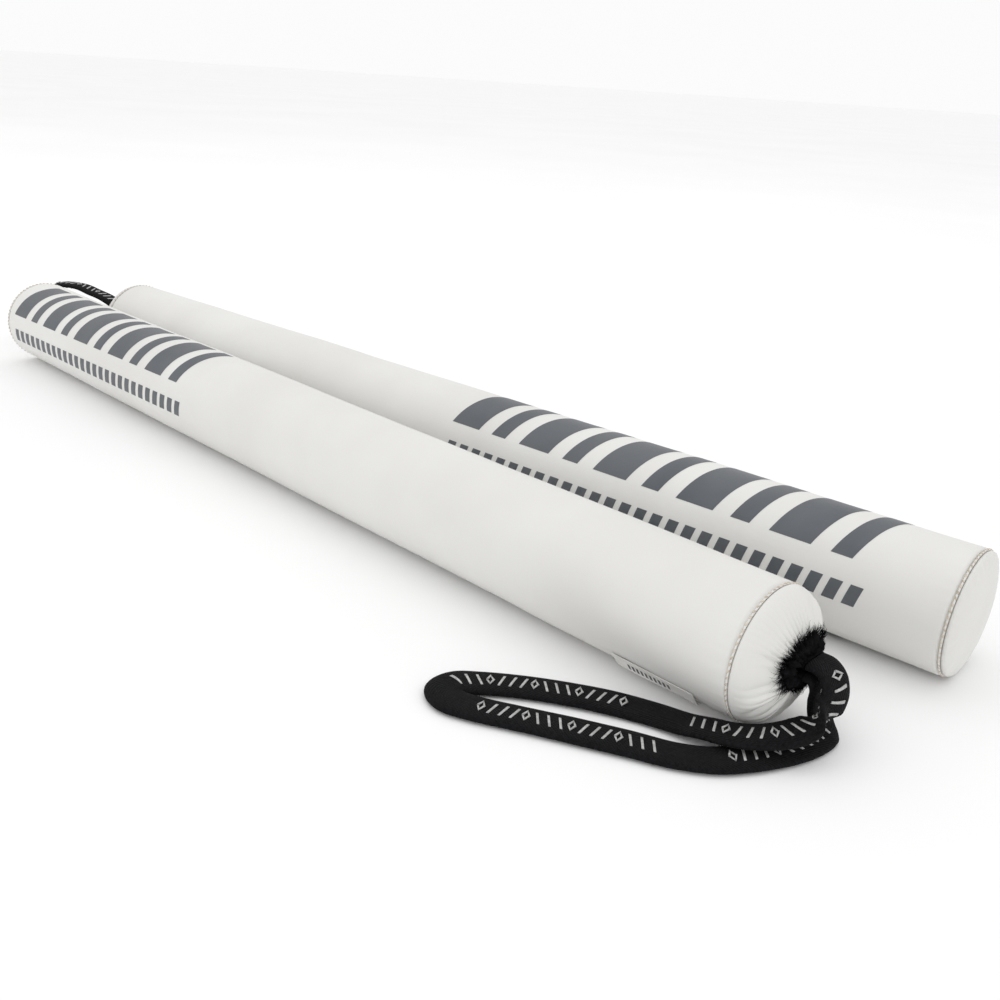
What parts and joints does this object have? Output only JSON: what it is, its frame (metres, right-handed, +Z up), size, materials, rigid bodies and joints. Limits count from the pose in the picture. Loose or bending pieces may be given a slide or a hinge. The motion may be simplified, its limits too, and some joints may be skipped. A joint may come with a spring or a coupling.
{
  "type": "focus training sticks",
  "caption": "Matched pair of round foam-padded training sticks in stitched vinyl covers, each with a gathered handle end and a woven wrist strap.",
  "frame": {"origin": "centre of the bottom of the pair's bounding box, straps left out: on the floor between the sticks", "axes": "+Z up; +X along the near stick, towards its handle end; +Y towards the other stick"},
  "size_m": [0.7807, 0.212, 0.056],
  "materials": {
    "white_vinyl": "white synthetic leather (vinyl), soft satin",
    "stitching": "cream sewing thread in a rim seam",
    "black_webbing": "black woven tubular polyester",
    "strap_weave": "light grey threads woven in the strap",
    "print_ink": "slate grey screen print on the vinyl",
    "label_cloth": "white woven label",
    "label_ink": "dark woven marks on the label",
    "firm_foam": "closed-cell foam",
    "soft_foam": "open-cell foam",
    "core_plastic": "grey moulded plastic"
  },
  "bodies": {
    "stick_a": {"near_core_tube": "core_plastic", "near_core_plug_handle": "core_plastic", "near_core_plug_tip": "core_plastic", "near_foam_inner_sleeve": "firm_foam", "near_foam_outer_sleeve": "soft_foam", "near_foam_tip_pad": "soft_foam", "near_foam_handle_pad": "soft_foam", "near_cover_sleeve": "white_vinyl", "near_cover_seam_allowance": "white_vinyl", "near_tip_disc": "white_vinyl", "near_tip_rim_stitching": "stitching", "near_handle_cap": "white_vinyl", "near_handle_rim_stitching": "stitching", "near_gather_binding": "black_webbing", "near_strap_tail": "black_webbing", "near_wrist_strap": "black_webbing", "near_sewn_label": "label_cloth"},
    "stick_b": {"far_core_tube": "core_plastic", "far_core_plug_handle": "core_plastic", "far_core_plug_tip": "core_plastic", "far_foam_inner_sleeve": "firm_foam", "far_foam_outer_sleeve": "soft_foam", "far_foam_tip_pad": "soft_foam", "far_foam_handle_pad": "soft_foam", "far_cover_sleeve": "white_vinyl", "far_cover_seam_allowance": "white_vinyl", "far_tip_disc": "white_vinyl", "far_tip_rim_stitching": "stitching", "far_handle_cap": "white_vinyl", "far_handle_rim_stitching": "stitching", "far_gather_binding": "black_webbing", "far_strap_tail": "black_webbing", "far_wrist_strap": "black_webbing", "far_sewn_label": "label_cloth"}
  },
  "joints": [
    {"name": "stick_b_lift", "type": "slide", "parent": "stick_a", "child": "stick_b", "axis": [0, 0, 1], "range_m": [0, 0.15]}
  ]
}
